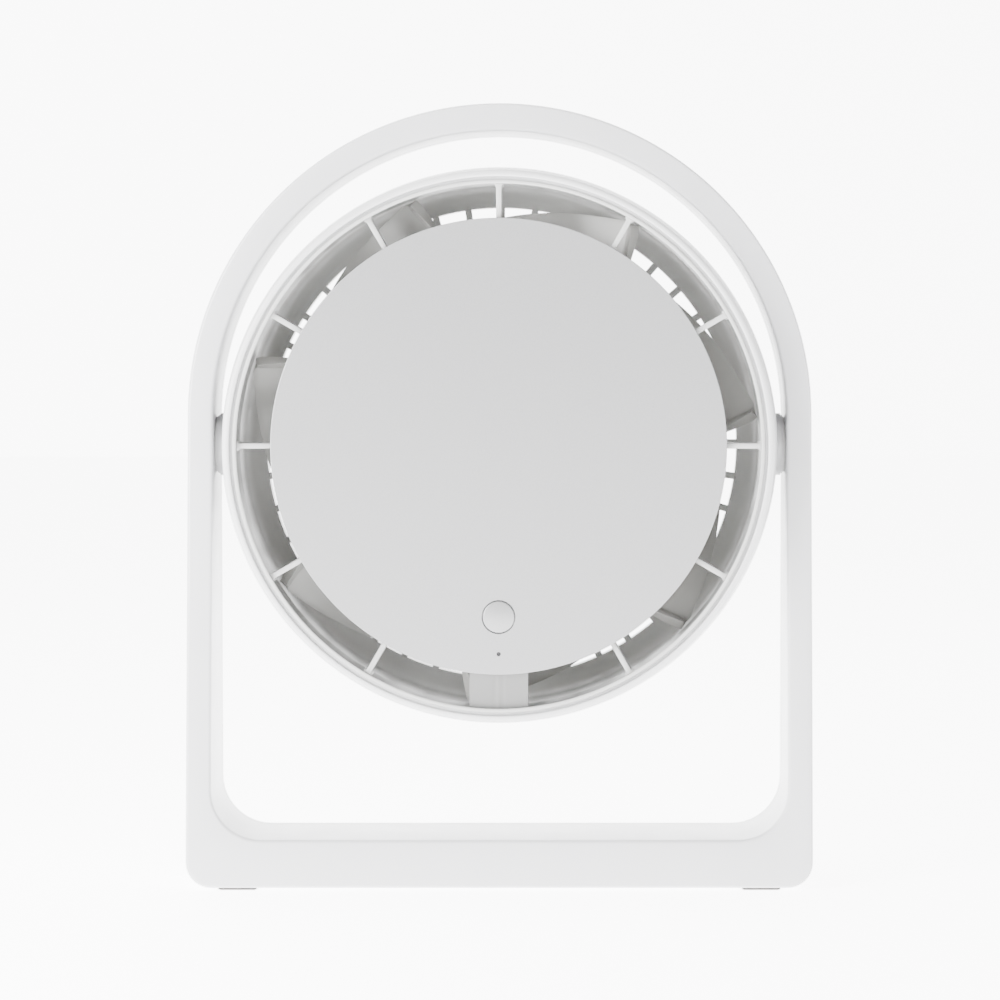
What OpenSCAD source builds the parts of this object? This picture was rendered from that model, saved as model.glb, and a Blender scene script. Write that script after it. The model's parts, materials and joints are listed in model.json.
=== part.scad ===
// Desk fan: a tilting drum head between the legs of a loop stand.
// Origin on the desk under the middle of the stand; +Z up; the head blows towards -Y.

/* [Stand] */
// Height of the stand over its feet
stand_h = 279; // [250:1:330]
// Half of the stand's width, and the radius of its arch
stand_half_w = 111; // [106:0.5:140]
// Thickness of each leg seen from the front
leg_t = 8.9; // [7:0.1:14]
// Thickness of the arch at the top
arch_t = 9.9; // [7:0.1:16]
// Thickness of the base seen from the front
base_t = 17; // [13:0.5:26]
// Depth of the stand at the arch
arch_depth = 34; // [28:1:44]
// Depth of the stand at the base
base_depth = 47; // [44:1:80]
// Radius of the two lower outside corners
outer_corner_r = 9; // [4:0.5:14]
// Radius of the two lower inside corners
inner_corner_r = 17.7; // [8:0.5:26]
// Height that the feet stand out
foot_h = 0.8; // [0.5:0.1:3]
// Width of a foot
foot_w = 13.6; // [8:0.2:18]
// Depth of a foot's recess
foot_recess = 1; // [0.6:0.1:2]

/* [Head] */
// How far the tilt axis lies below the middle of the window's arch
tilt_drop = 9.6; // [9:0.2:30]
// Largest outer radius of the drum
drum_r = 99.4; // [92:0.2:112]
// Outer radius of the drum at its edges
drum_edge_r = 96.6; // [90:0.2:99.5]
// Depth of the drum
drum_depth = 70; // [66:1:90]
// Wall of the drum's shell
shell_t = 2.2; // [1.6:0.1:3]
// Inner radius of the air duct
duct_r = 94; // [80:0.2:94.2]
// Wall of the air duct
duct_t = 1.2; // [1:0.1:1.4]
// Wall of the drum's rear ring and slotted plate
rear_wall = 2; // [1.4:0.1:3]

/* [Front] */
// Radius of the front disc
disc_r = 80; // [70:0.5:82]
// Thickness of the front disc
disc_t = 2; // [1.4:0.1:3]
// How far the disc reaches past the dish behind it
disc_overhang = 1.2; // [0.4:0.1:2]
// Inner radius of the ring round the air gap
ring_r = 92; // [88:0.2:93]
// Wall of the ring
ring_t = 1.4; // [1:0.1:1.6]
// Depth of the front grille
grille_depth = 15; // [12:0.5:18]
// Rib positions round the ring, one of which is the bridge
rib_places = 12; // [8:1:24]
// Thickness of a rib
rib_t = 1.9; // [1:0.1:3]
// Width of the bridge
bridge_w = 20.5; // [16:0.5:30]
// Wall of the dish, the bridge and the dish floor
dish_t = 1.6; // [1.2:0.1:2.4]

/* [Button] */
// Radius of the button's cap
button_r = 5.5; // [4:0.1:8]
// Gap round the cap
button_gap = 0.35; // [0.2:0.05:0.8]
// Distance of the button's middle in from the edge of the disc
button_in = 20.2; // [18:0.2:26]
// Height of the cap over the disc
button_proud = 0.4; // [0:0.1:1.2]
// Travel of the button
button_travel = 0.6; // [0.3:0.1:1]
// Distance of the indicator hole in from the edge of the disc
led_in = 7.2; // [6:0.2:10]
// Radius of the indicator hole
led_r = 0.6; // [0.4:0.1:1.2]

/* [Impeller] */
// Number of blades
blades = 7; // [5:1:9]
// Gap between the blade tips and the duct
tip_gap = 1; // [0.8:0.1:3]
// Outer radius of the hub
hub_r = 30; // [27:0.5:38]
// Wall of the hub
hub_t = 2; // [1.4:0.1:3]
// Distance of the blades' front edge in front of the tilt axis
blade_front = 16; // [10:0.5:17]
// Distance of the blades' rear edge behind the tilt axis
blade_rear = 14; // [10:0.5:18]
// Thickness of a blade
blade_t = 1.8; // [1.2:0.1:2.6]
// How much nearer the axis a blade's tip ends at its leading edge than at its trailing edge
tip_fall = 11; // [4:0.5:14]

/* [Rear grille] */
// Number of radial bars
rear_bars = 44; // [24:2:60]
// Width of a radial bar
rear_bar_w = 2.5; // [1.6:0.1:3]
// Inner radius of the slots
slot_in_r = 34; // [30:1:44]
// Outer radius of the slots
slot_out_r = 86.4; // [80:0.2:88.8]
// Wall of the lip round the slotted plate
lip_t = 1.2; // [1:0.1:1.6]
// Distance of the grille's outer face in from the drum's rear edge
grille_inset = 8; // [7:0.5:9]

/* [Motor] */
// Outer radius of the rotor can
can_r = 23; // [20:0.5:25]
// Wall of the rotor can
can_t = 1.2; // [0.8:0.1:1.6]
// Thickness of the magnet ring
magnet_t = 2.6; // [1.5:0.1:3]
// Gap between the magnets and the stator
air_gap = 0.8; // [0.4:0.1:1.2]
// Number of stator teeth
teeth = 9; // [6:3:12]
// Diameter of the motor shaft
shaft_d = 5; // [4:0.5:6]
// Outer diameter of a motor bearing
bearing_d = 10; // [9:0.5:12]
// Width of a motor bearing
bearing_w = 4; // [3:0.5:5]

/* [Pivots] */
// Diameter of the collars between the drum and the legs
collar_d = 22.4; // [18:0.2:28]
// Diameter of the pivot pins
pin_d = 8; // [6:0.5:10]
// Diameter of the heads of the pivot pins
pin_head_d = 14; // [12:0.5:17]
// Wall of the bushes that run on the pins
bush_t = 1.6; // [1:0.1:2.4]
// Running clearance round the pins, on the radius
run_gap = 0.05; // [0.02:0.01:0.1]

/* [Hidden] */
$fn = 96;
eps = 0.01;      // overshoot of a cut past the face it opens
seat_gap = 0.1;  // clearance round a piece seated in a recess
slip_gap = 0.3;  // gap between faces that move past each other

// Stand: outline seen from the front
inner_half_w = stand_half_w - leg_t;
arch_z = stand_h - stand_half_w;
inner_arch_z = stand_h - arch_t - inner_half_w;
base_top_z = foot_h + base_t;
tilt_z = inner_arch_z - tilt_drop;
// Stand: outline seen from the side, tapering up to the tilt axis
taper_z = tilt_z;
// Base pocket, its cover and ballast
cover_t = 2;
cover_lip = 3;
base_wall = 3;
foot_inset = 11.5;
foot_front = 1.2;
foot_x = stand_half_w - foot_inset - foot_w / 2;
foot_len = base_depth - 2 * foot_front;
pocket_half_w = foot_x - foot_w / 2 - 6;
pocket_half_d = base_depth / 2 - 4.5;
pocket_top_z = base_top_z - base_wall;
cover_top_z = foot_h + cover_t;
boss_x = pocket_half_w - 7;
boss_r = 4;
screw_r = 1.5;
pilot_r = 1.25;
head_r = 2.8;
head_t = 1.4;
ballast_half_w = boss_x - boss_r - 2;

// Head: distances along the axis are counted forwards from the tilt axis
front_f = drum_depth / 2;
rear_f = -drum_depth / 2;
barrel_sag = drum_r - drum_edge_r;
barrel_r = (front_f * front_f + barrel_sag * barrel_sag) / (2 * barrel_sag);
barrel_c = drum_r - barrel_r;
disc_back_f = front_f - disc_t;
ring_out_r = ring_r + ring_t;
edge_in_r = ring_out_r + 0.8;
dish_r = disc_r - disc_overhang;
bay_r = dish_r - dish_t;
grille_back_f = front_f - grille_depth;
bay_floor_f = grille_back_f + dish_t;
rib_front_f = disc_back_f - 0.6;
duct_out_r = duct_r + duct_t;
grille_out_f = rear_f + grille_inset;
grille_in_f = grille_out_f + rear_wall;
lip_in_r = slot_out_r + 0.2;
lip_out_r = lip_in_r + lip_t;
duct_foot_r = min(7, duct_r - slot_out_r - 0.6);
groove_half_w = 3;
groove_deep = 0.9;
rear_post_r = 2;
rear_post_places = [45, 135, 225, 315];

// Button, switch and board
button_drop = disc_r - button_in;
led_drop = disc_r - led_in;
hole_r = button_r + button_gap;
flange_r = button_r + 1.6;
flange_t = 0.8;
stem_r = 1.5;
board_t = 1.6;
board_f = grille_back_f + 5.6;
board_half_w = 15;
board_low = led_drop + 2;
board_high = button_drop - 18;
switch_half_w = 3;
switch_h = 2.6;
plunger_r = 1.6;
plunger_h = 0.6;
plunger_f = board_f + board_t + switch_h + plunger_h;
stem_f = plunger_f + button_travel + 0.1;
flange_f = disc_back_f - 0.1 - flange_t;

// Battery, its strap, and the screws in the bay and the motor's base
base_plate_r = 19;
battery_half_w = 30;
battery_t = 6.8;
battery_gap = 9.1;
battery_low = base_plate_r + 3;
battery_high = sqrt(pow(bay_r, 2) - pow(battery_half_w, 2)) - battery_gap;
strap_f = bay_floor_f + battery_t;
strap_t = 1.2;
strap_posts = [for (s = [-1, 1]) [s * (battery_half_w + 4), (battery_low + battery_high) / 2, 0]];
board_posts = [for (s = [-1, 1]) [s * (board_half_w - 3), -board_high - 3.4, 0]];
motor_screw_places = [30, 150, 330];
// Charging socket, in the rear channel at the bottom
usb_half_w = 4.5;
usb_half_h = 1.65;
usb_len = 7.4;
usb_wall = 0.3;
usb_board_half_w = 8;
usb_board_t = 0.6;
usb_r = lip_out_r + usb_half_h + usb_board_t + seat_gap;

// Impeller and motor
tip_r = duct_r - tip_gap;
hub_rear_f = -blade_rear;
hub_front_f = blade_front - 1;
can_rear_f = -4;
can_front_f = 12;
can_in_r = can_r - can_t;
magnet_in_r = can_in_r - magnet_t;
stator_r = magnet_in_r - air_gap;
stator_rear_f = 1;
stator_front_f = 9;
tube_in_r = bearing_d / 2;
tube_out_r = tube_in_r + 1.5;
tube_rear_f = stator_rear_f - 2;
base_plate_t = 2;
motor_screw_pcr = 14.5;
shaft_r = shaft_d / 2;
nut_t = 4;
nut_r = 4.6;
spinner_r = shaft_r + 3;
tip_lead = 30;      // angles of a blade's leading and trailing edges, at its tip and root
tip_trail = 1;
root_lead = 27;
root_trail = 16;
blade_camber = 0.1;
rest_angle = -29.3;  // where the first blade's tip corner stands, from the top
blade_rows = 10;
blade_cols = 6;

// Pivots: distances are counted outwards from the middle of the fan
washer_t = 0.4;
collar_out_x = inner_half_w - washer_t - 2 * run_gap;
collar_in_x = duct_out_r + 0.3;
bush_out_r = pin_d / 2 + run_gap + bush_t;
clip_t = 0.8;
clip_r = pin_d / 2 + 1.6;
clip_pocket = clip_t + 2 * slip_gap;
pin_in_x = collar_in_x + slip_gap;
pin_head_t = 1.4;
pin_cap_t = 1.6;
pin_out_x = stand_half_w - pin_cap_t;
flange_out_r = collar_d / 2 + 3.4;

// ---- helpers ----

// Turns a shape drawn from the front, with its depth as +Z, into place on the tilt axis
module on_axis() {
    translate([0, 0, tilt_z]) rotate([90, 0, 0]) children();
}

// Turns a shape drawn along +Z so that it runs outwards along X on the given side
module on_pivot(side) {
    translate([0, 0, tilt_z]) rotate([0, side * 90, 0]) children();
}

// A plain disc or cylinder from one distance along the axis to another
module disc(r, from, to) {
    translate([0, 0, from]) cylinder(r = r, h = to - from);
}

// A tube from one distance along the axis to another
module tube(out_r, in_r, from, to) {
    difference() {
        disc(out_r, from, to);
        disc(in_r, from - eps, to + eps);
    }
}

// A block between two corners
module block(low, high) {
    translate(low) cube(high - low);
}

// A pan head screw whose head seats at z = 0, with its shank running down
module pan_screw(shank_r, length, pan_r, pan_t) {
    cylinder(r = pan_r, h = pan_t);
    translate([0, 0, -length]) cylinder(r = shank_r, h = length + eps);
}

// The barrel's outline at an offset in from its outside, as a solid
module barrel(inset, from, to) {
    rotate_extrude() intersection() {
        translate([barrel_c, 0]) circle(r = barrel_r - inset, $fn = 360);
        translate([0, from]) square([drum_r + 1, to - from]);
    }
}

// ---- stand ----

module loop_outline(half_w, top_z, low_z, corner_r) {
    translate([0, top_z]) circle(r = half_w, $fn = 180);
    translate([-half_w, low_z + corner_r]) square([2 * half_w, top_z - low_z - corner_r]);
    translate([corner_r - half_w, low_z]) square([2 * (half_w - corner_r), corner_r + eps]);
    for (s = [-1, 1]) translate([s * (half_w - corner_r), low_z + corner_r]) circle(r = corner_r);
}

module stand_side() {
    polygon([
        [-base_depth / 2, 0], [base_depth / 2, 0], [base_depth / 2, base_top_z],
        [arch_depth / 2, taper_z], [arch_depth / 2, stand_h + 1],
        [-arch_depth / 2, stand_h + 1], [-arch_depth / 2, taper_z],
        [-base_depth / 2, base_top_z]
    ]);
}

module stand_loop() {
    intersection() {
        translate([0, base_depth, 0]) rotate([90, 0, 0]) linear_extrude(2 * base_depth)
            difference() {
                loop_outline(stand_half_w, arch_z, foot_h, outer_corner_r);
                loop_outline(inner_half_w, inner_arch_z, base_top_z, inner_corner_r);
            }
        translate([-stand_half_w - 1, 0, 0]) rotate([90, 0, 90])
            linear_extrude(2 * stand_half_w + 2) stand_side();
    }
}

module foot_shape(grow) {
    half_w = foot_w / 2 + grow;
    half_l = foot_len / 2 + grow;
    block([-half_w, -half_l, 0], [half_w, half_l, foot_recess + foot_h]);
}

module stand_frame() {
    color("white") difference() {
        stand_loop();
        // pocket for the ballast, with a step for the cover
        difference() {
            block([-pocket_half_w, -pocket_half_d, foot_h - eps],
                  [pocket_half_w, pocket_half_d, pocket_top_z]);
            for (s = [-1, 1]) translate([s * boss_x, 0, cover_top_z])
                cylinder(r = boss_r, h = base_t);
        }
        block([-pocket_half_w - cover_lip, -pocket_half_d - cover_lip / 2, foot_h - eps],
              [pocket_half_w + cover_lip, pocket_half_d + cover_lip / 2, cover_top_z]);
        for (s = [-1, 1]) {
            translate([s * boss_x, 0, cover_top_z - eps]) cylinder(r = pilot_r, h = 9);
            translate([s * foot_x, 0, 0]) foot_shape(seat_gap);
            on_pivot(s) {
                disc(pin_d / 2, inner_half_w - 1, stand_half_w + 1);
                disc(pin_head_d / 2 + seat_gap, pin_out_x - pin_head_t, stand_half_w + 1);
            }
        }
    }
}

module base_cover() {
    color("whitesmoke") difference() {
        block([seat_gap - pocket_half_w - cover_lip, seat_gap - pocket_half_d - cover_lip / 2,
               foot_h],
              [pocket_half_w + cover_lip - seat_gap, pocket_half_d + cover_lip / 2 - seat_gap,
               cover_top_z]);
        for (s = [-1, 1]) translate([s * boss_x, 0, 0]) {
            cylinder(r = screw_r + seat_gap, h = base_t);
            cylinder(r = head_r + seat_gap, h = foot_h + head_t);
        }
    }
}

module ballast_bar() {
    color("dimgray") block([-ballast_half_w, -pocket_half_d + 1, cover_top_z],
                           [ballast_half_w, pocket_half_d - 1, pocket_top_z - 1]);
}

module base_screws() {
    color("silver") for (s = [-1, 1]) translate([s * boss_x, 0, foot_h + head_t])
        mirror([0, 0, 1]) pan_screw(pilot_r, 8, head_r, head_t);
}

module foot_pad(side) {
    color([0.16, 0.14, 0.13]) translate([side * foot_x, 0, 0]) foot_shape(0);
}

// ---- pivots ----

module pivot_pin(side) {
    color("silver") on_pivot(side) difference() {
        union() {
            disc(pin_d / 2, pin_in_x, pin_out_x - pin_head_t + eps);
            disc(pin_head_d / 2, pin_out_x - pin_head_t, pin_out_x);
        }
        tube(pin_d, pin_d / 2 - 0.8, pin_in_x + slip_gap, pin_in_x + slip_gap + clip_t);
    }
}

module pivot_cap(side) {
    color("white") on_pivot(side) disc(pin_head_d / 2, pin_out_x, stand_half_w);
}

module retaining_clips() {
    color("gray") for (s = [-1, 1]) on_pivot(s) difference() {
        tube(clip_r, pin_d / 2 - 0.8, pin_in_x + slip_gap, pin_in_x + slip_gap + clip_t);
        translate([-1.6, 0, pin_in_x]) cube([3.2, clip_r + 1, 3]);
    }
}

// The space between the duct and the shell, where the collar's flange lies
module flange_space() {
    on_axis() difference() {
        barrel(shell_t + seat_gap, -flange_out_r, flange_out_r);
        disc(collar_in_x, -flange_out_r - 1, flange_out_r + 1);
    }
}

module pivot_collar(side) {
    color("white") difference() {
        union() {
            difference() {
                on_pivot(side) disc(collar_d / 2, collar_in_x - 1, collar_out_x);
                on_axis() disc(collar_in_x, -collar_d, collar_d);
            }
            intersection() {
                flange_space();
                on_pivot(side) disc(flange_out_r, collar_in_x - 9, drum_r);
            }
        }
        on_pivot(side) {
            disc(bush_out_r, 0, stand_half_w);
            disc(clip_r + slip_gap, 0, pin_in_x + clip_pocket);
        }
    }
}

module pivot_bush(side) {
    color("ivory") on_pivot(side)
        tube(bush_out_r, pin_d / 2 + run_gap, pin_in_x + clip_pocket, collar_out_x);
}

module friction_washers() {
    color("dimgray") for (s = [-1, 1]) on_pivot(s)
        tube(collar_d / 2 - 1.4, pin_d / 2 + run_gap, collar_out_x, collar_out_x + washer_t);
}

// ---- drum ----

module drum_shell() {
    color("white") difference() {
        union() {
            on_axis() difference() {
                union() {
                    difference() {
                        barrel(0, rear_f, front_f);
                        barrel(shell_t, rear_f - eps, front_f + eps);
                    }
                    // front edge, which steps in to meet the ring
                    difference() {
                        barrel(0, front_f - 2, front_f);
                        disc(edge_in_r, front_f - 3, front_f + 1);
                    }
                }
                // wire groove down the inside, at the bottom
                intersection() {
                    block([-groove_half_w, -drum_r, rear_f + rear_wall],
                          [groove_half_w, -duct_r, bay_floor_f + 4]);
                    barrel(shell_t - groove_deep, rear_f, front_f);
                }
            }
            on_axis() for (a = rear_post_places) rotate(a) shell_post();
        }
        for (s = [-1, 1]) on_pivot(s) disc(collar_d / 2 + seat_gap, duct_r - 5, stand_half_w);
        on_axis() for (a = rear_post_places) rotate(a)
            translate([post_place_r(), 0, 0]) disc(0.8, rear_f, grille_in_f - 2);
    }
}

function post_place_r() = (lip_out_r + duct_out_r) / 2 + 0.5;

// A screw post on the inside of the shell, within the rear channel
module shell_post() {
    intersection() {
        union() {
            translate([post_place_r(), 0, 0])
                disc(rear_post_r, rear_f + rear_wall, grille_out_f - 0.3);
            block([post_place_r(), -0.8, rear_f + rear_wall],
                  [drum_r, 0.8, grille_out_f - 0.3]);
        }
        barrel(shell_t / 2, rear_f, grille_out_f);
    }
}

// The wall round the impeller, which curves in at its foot to meet the rear grille
module air_duct() {
    foot_in_r = duct_r - duct_foot_r;
    color("white") on_axis() {
        tube(duct_out_r, duct_r, grille_in_f, grille_back_f);
        rotate_extrude() difference() {
            translate([foot_in_r, grille_in_f]) square([duct_foot_r + eps, duct_foot_r]);
            translate([foot_in_r, grille_in_f + duct_foot_r]) circle(r = duct_foot_r);
        }
    }
}

module slots() {
    difference() {
        circle(r = slot_out_r, $fn = 180);
        circle(r = slot_in_r);
        for (r = [slot_in_r + 16.5, slot_in_r + 35]) difference() {
            circle(r = r + rear_bar_w / 2);
            circle(r = r - rear_bar_w / 2);
        }
        for (i = [0 : rear_bars / 2 - 1]) rotate(i * 360 / rear_bars)
            square([2 * slot_out_r + 2, rear_bar_w], center = true);
    }
}

module rear_grille() {
    color("white") on_axis() difference() {
        union() {
            // slotted plate, inner lip and rear ring
            disc(duct_out_r, grille_out_f, grille_in_f);
            tube(lip_out_r, lip_in_r, rear_f, grille_in_f);
            difference() {
                intersection() {
                    disc(drum_r, rear_f, rear_f + rear_wall);
                    barrel(shell_t + seat_gap, rear_f, rear_f + rear_wall);
                }
                disc(lip_in_r, rear_f - 1, rear_f + rear_wall + 1);
            }
        }
        translate([0, 0, grille_out_f - 1]) linear_extrude(rear_wall + 2) slots();
        disc(lip_in_r, rear_f - 1, grille_out_f);
        for (a = rear_post_places) rotate(a) translate([post_place_r(), 0, 0])
            disc(1.1, rear_f - 1, rear_f + rear_wall + 1);
        translate([0, -usb_r, 0])
            block([-usb_half_w - seat_gap, -usb_half_h - seat_gap, rear_f - 1],
                  [usb_half_w + seat_gap, usb_half_h + seat_gap, rear_f + rear_wall + 1]);
    }
}

module rear_screws() {
    color("silver") on_axis() for (a = rear_post_places) rotate(a)
        translate([post_place_r(), 0, rear_f]) mirror([0, 0, 1]) pan_screw(0.8, 6, 1.9, 0.3);
}

// ---- front ----

module front_grille() {
    color("white") on_axis() {
        difference() {
            union() {
                tube(ring_out_r, ring_r, grille_back_f, front_f - 0.4);
                tube(dish_r, bay_r, grille_back_f, disc_back_f);
                disc(dish_r, grille_back_f, bay_floor_f);
                for (i = [1 : rib_places - 1]) rotate(-90 + i * 360 / rib_places)
                    block([dish_r - 0.2, -rib_t / 2, grille_back_f],
                          [ring_r + 0.2, rib_t / 2, rib_front_f]);
                bridge();
                for (p = strap_posts) translate(p) disc(2.6, grille_back_f, strap_f);
                for (p = board_posts) translate(p) disc(2.2, grille_back_f, board_f);
            }
            // wire way through the bridge, and a notch in the ring behind it
            block([-bridge_w / 2 + dish_t, -ring_out_r - 1, bay_floor_f],
                  [bridge_w / 2 - dish_t, 4 - dish_r, rib_front_f - dish_t]);
            for (p = strap_posts) translate(p) disc(0.9, bay_floor_f, strap_f + 1);
            for (p = board_posts) translate(p) disc(0.9, bay_floor_f, board_f + 1);
            for (a = motor_screw_places) rotate(a) translate([motor_screw_pcr, 0, 0])
                disc(screw_r - 0.4, grille_back_f - 1, bay_floor_f + 1);
            // way for the motor's wires
            translate([0, -tube_out_r - 3, 0]) disc(2.4, grille_back_f - 1, bay_floor_f + 1);
        }
    }
}

module bridge() {
    difference() {
        block([-bridge_w / 2, -ring_r - 0.4, grille_back_f], [bridge_w / 2, 1 - dish_r, rib_front_f]);
        disc(bay_r, grille_back_f - 1, front_f);
    }
}

module front_disc() {
    color([0.86, 0.86, 0.87]) on_axis() difference() {
        disc(disc_r, disc_back_f, front_f);
        translate([0, -button_drop, 0]) disc(hole_r, disc_back_f - 1, front_f + 1);
        translate([0, -led_drop, 0]) disc(led_r, disc_back_f - 1, front_f + 1);
    }
}

module power_button() {
    color([0.88, 0.88, 0.89]) on_axis() translate([0, -button_drop, 0]) {
        disc(button_r, flange_f, front_f + button_proud);
        disc(flange_r, flange_f, flange_f + flange_t);
        disc(stem_r, stem_f, flange_f + eps);
    }
}

// ---- electronics ----

module control_board() {
    color("darkgreen") on_axis() difference() {
        intersection() {
            block([-board_half_w, -board_low, board_f], [board_half_w, -board_high, board_f + board_t]);
            disc(bay_r - 0.6, board_f - 1, board_f + board_t + 1);
        }
        for (p = board_posts) translate(p) disc(0.9, board_f - 1, board_f + board_t + 1);
    }
}

module tact_switch() {
    color("black") on_axis() translate([0, -button_drop, board_f + board_t]) {
        block([-switch_half_w, -switch_half_w, 0], [switch_half_w, switch_half_w, switch_h]);
        disc(plunger_r, switch_h - eps, switch_h + plunger_h);
    }
}

module status_led() {
    color("azure") on_axis() translate([0, -led_drop, board_f + board_t])
        block([-0.8, -0.6, 0], [0.8, 0.6, 0.7]);
}

module light_pipe() {
    color("lightcyan") on_axis() translate([0, -led_drop, 0]) {
        disc(led_r - 0.05, disc_back_f - eps, front_f - 0.2);
        disc(led_r + 0.7, board_f + board_t + 0.8, disc_back_f);
    }
}

module battery_pack() {
    color("steelblue") on_axis()
        block([-battery_half_w, battery_low, bay_floor_f],
              [battery_half_w, battery_high, bay_floor_f + battery_t]);
}

module battery_strap() {
    mid = (battery_low + battery_high) / 2;
    color("gainsboro") on_axis() difference() {
        block([-battery_half_w - 7, mid - 4, strap_f], [battery_half_w + 7, mid + 4, strap_f + strap_t]);
        for (p = strap_posts) translate(p) disc(1.1, strap_f - 1, strap_f + 3);
    }
}

module bay_screws() {
    color("silver") on_axis() {
        for (p = strap_posts) translate([p.x, p.y, strap_f + strap_t]) pan_screw(0.9, 6, 1.9, 1);
        for (p = board_posts) translate([p.x, p.y, board_f + board_t]) pan_screw(0.9, 5, 1.9, 1);
    }
}

module usb_socket() {
    color("silver") on_axis() translate([0, -usb_r, 0]) difference() {
        block([-usb_half_w, -usb_half_h, rear_f + 0.4], [usb_half_w, usb_half_h, rear_f + 0.4 + usb_len]);
        difference() {
            block([usb_wall - usb_half_w, usb_wall - usb_half_h, rear_f],
                  [usb_half_w - usb_wall, usb_half_h - usb_wall, rear_f + 6]);
            block([-3.3, -0.35, rear_f + 1], [3.3, 0.35, rear_f + 7]);
        }
    }
}

module usb_board() {
    color("darkgreen") on_axis() translate([0, -usb_r, 0])
        block([-usb_board_half_w, usb_half_h, rear_f + rear_wall + seat_gap],
              [usb_board_half_w, usb_half_h + usb_board_t, grille_out_f - seat_gap]);
}

// A round wire through the given points, with ball corners
module wire(points, r) {
    for (i = [0 : len(points) - 2]) {
        run = points[i + 1] - points[i];
        length = norm(run);
        turn = [0, acos(run.z / length), atan2(run.y, run.x)];
        translate(points[i]) rotate(turn) cylinder(r = r, h = length, $fn = 24);
        if (i > 0) translate(points[i]) sphere(r = r, $fn = 24);
    }
}

module wire_harness() {
    usb_wire_r = duct_out_r + 0.75;
    wire_f = bay_floor_f + 1.5;
    wire_r = 0.45;
    color("firebrick") on_axis() {
        for (x = [-0.9, 0.9]) {
            wire([[x, -board_high - 12, wire_f], [x, -usb_wire_r, wire_f],
                  [x, -usb_wire_r, grille_out_f - 1.2],
                  [x, -usb_r - usb_half_h - wire_r, grille_out_f - 1.2]], wire_r);
            wire([[4 * x, -tube_out_r - 3, stator_front_f + 1.6],
                  [x, -tube_out_r - 3, wire_f], [x, -board_high - 6, wire_f]], wire_r);
            wire([[6 + x, battery_low, wire_f], [6 + x, 2 - tube_out_r, wire_f],
                  [6 + x, -board_high - 8, wire_f]], wire_r);
        }
    }
}

// ---- motor ----

module motor_base() {
    color("gainsboro") on_axis() difference() {
        union() {
            disc(base_plate_r, grille_back_f - base_plate_t, grille_back_f);
            disc(tube_out_r, tube_rear_f, grille_back_f);
        }
        disc(tube_in_r, tube_rear_f - 1, tube_rear_f + bearing_w);
        disc(tube_in_r, grille_back_f - bearing_w - 1, grille_back_f + 1);
        disc(tube_in_r - 1.2, tube_rear_f, grille_back_f);
        for (a = motor_screw_places) rotate(a) translate([motor_screw_pcr, 0, 0])
            disc(screw_r - 0.6, grille_back_f - base_plate_t - 1, grille_back_f + 1);
        translate([0, -tube_out_r - 3, 0])
            disc(2.4, grille_back_f - base_plate_t - 1, grille_back_f + 1);
    }
}

module motor_bearings() {
    color("silver") on_axis() {
        tube(tube_in_r, shaft_r + run_gap, tube_rear_f, tube_rear_f + bearing_w);
        tube(tube_in_r, shaft_r + run_gap, grille_back_f - bearing_w - 1, grille_back_f - 1);
    }
}

module motor_screws() {
    color("silver") on_axis() for (a = motor_screw_places) rotate(a)
        translate([motor_screw_pcr, 0, bay_floor_f]) pan_screw(0.9, 3.4, 1.9, 1);
}

module stator_core() {
    color("slategray") on_axis() translate([0, 0, stator_rear_f])
        linear_extrude(stator_front_f - stator_rear_f) difference() {
            union() {
                circle(r = tube_out_r + 2.5);
                for (i = [0 : teeth - 1]) rotate(i * 360 / teeth)
                    translate([0, -1.3]) square([stator_r - 1, 2.6]);
                difference() {
                    circle(r = stator_r);
                    circle(r = stator_r - 1.5);
                    for (i = [0 : teeth - 1]) rotate((i + 0.5) * 360 / teeth)
                        translate([0, -0.9]) square([stator_r + 1, 1.8]);
                }
            }
            circle(r = tube_out_r);
        }
}

module stator_coils() {
    coil_in = tube_out_r + 2.9;
    coil_out = stator_r - 1.9;
    color("chocolate") on_axis() for (i = [0 : teeth - 1]) rotate(i * 360 / teeth) difference() {
        block([coil_in, -2.4, stator_rear_f - 1.1], [coil_out, 2.4, stator_front_f + 1.1]);
        block([coil_in - 1, -1.3, stator_rear_f], [coil_out + 1, 1.3, stator_front_f]);
    }
}

module rotor_can() {
    color("gray") on_axis() difference() {
        disc(can_r, can_rear_f, can_front_f);
        disc(can_in_r, can_rear_f + can_t, can_front_f + 1);
        disc(shaft_r, can_rear_f - 1, can_front_f);
    }
}

module rotor_magnets() {
    color("dimgray") on_axis() tube(can_in_r, magnet_in_r, stator_rear_f - 0.5, stator_front_f + 0.5);
}

module motor_shaft() {
    color("silver") on_axis() disc(shaft_r, hub_rear_f - nut_t, grille_back_f - 0.6);
}

module impeller_nut() {
    color("whitesmoke") on_axis() difference() {
        disc(nut_r, hub_rear_f - nut_t, hub_rear_f, $fn = 6);
        disc(shaft_r, hub_rear_f - nut_t - 1, hub_rear_f + 1);
    }
}

// ---- impeller ----

// Angles of a blade's leading and trailing edges at a share t of the way to the tip,
// clockwise from the tip corner as seen from the front
function lead_angle(t) = -root_lead + t * (root_lead - tip_lead);
function trail_angle(t) = root_trail + t * (tip_trail - root_trail);

// Radius of the blade's tip edge at share s from the leading to the trailing edge
function tip_at(s) = tip_r - tip_fall * pow(1 - s, 0.66);

// A point of the blade at share t outwards and share s from the leading to the trailing edge
function blade_point(t, s, side) =
    let (r = hub_r - 0.5 + t * (tip_at(s) - hub_r + 0.5),
         lead = lead_angle(t),
         a = 90 + rest_angle - lead - s * (trail_angle(t) - lead),
         rise = -blade_rear + 1 + (blade_front + blade_rear - 3) * (s + blade_camber * sin(180 * s)),
         edge = 0.35 + 0.65 * sqrt(max(0, 1 - pow(2 * s - 1, 2))))
    [r * cos(a), r * sin(a), rise + side * edge * blade_t / 2];

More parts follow.
